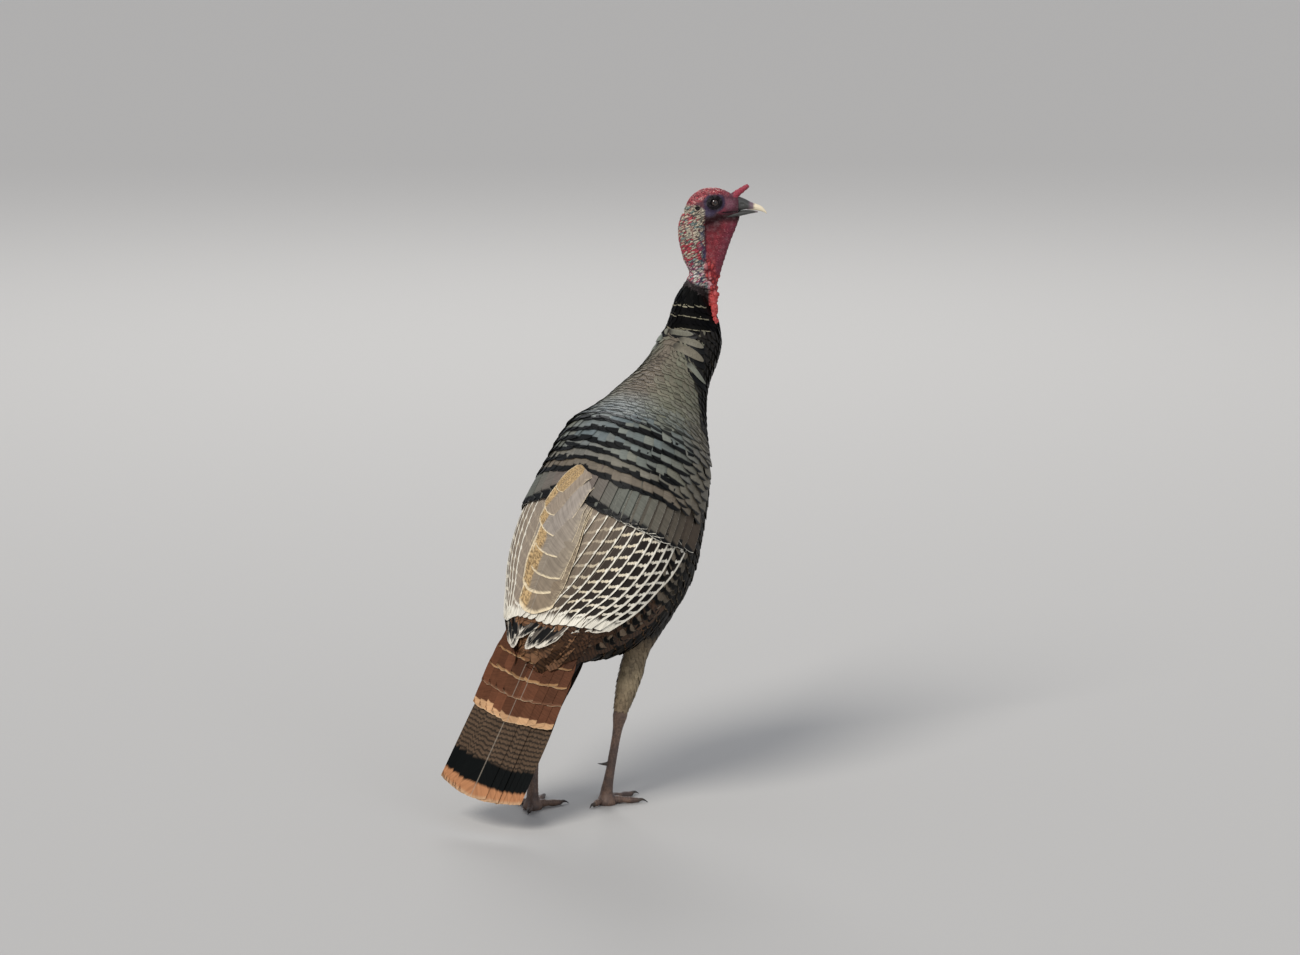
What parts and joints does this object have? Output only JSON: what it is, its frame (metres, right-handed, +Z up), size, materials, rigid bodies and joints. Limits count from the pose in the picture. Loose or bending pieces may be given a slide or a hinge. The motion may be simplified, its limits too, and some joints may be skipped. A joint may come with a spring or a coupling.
{
  "type": "wild turkey",
  "caption": "Life-size still model of an adult male wild turkey standing alert with its head turned to its right, for display and as set dressing.",
  "frame": {"origin": "on the floor, under the middle of the model's box", "axes": "-Y the way the bird's body faces, +X its left side, +Z up"},
  "size_m": [0.3142, 0.5566, 0.9774],
  "materials": {
    "feather_bronze": "satin",
    "feather_wing": "satin",
    "feather_tail": "satin",
    "feather_black": "satin",
    "feather_leg": "matte",
    "bristle": "satin",
    "skin_red": "satin",
    "skin_pale": "satin",
    "horn": "satin",
    "claw": "satin",
    "leg_scale": "satin",
    "eye": "gloss"
  },
  "bodies": {
    "root": {"torso": "feather_bronze", "tail": "feather_tail", "wing_left": "feather_wing", "wing_right": "feather_wing", "neck_feathered": "feather_black", "neck_bare": "skin_pale", "head": "skin_red", "bill_upper": "horn", "bill_lower": "horn", "snood": "skin_red", "eye_left": "eye", "eye_right": "eye", "throat_wattle": "skin_red", "thigh_left": "feather_leg", "shank_left": "leg_scale", "foot_left": "leg_scale", "claw_middle_left": "claw", "claw_inner_left": "claw", "claw_outer_left": "claw", "claw_hind_left": "claw", "thigh_right": "feather_leg", "shank_right": "leg_scale", "foot_right": "leg_scale", "claw_middle_right": "claw", "claw_inner_right": "claw", "claw_outer_right": "claw", "claw_hind_right": "claw", "beard": "bristle"}
  },
  "joints": []
}
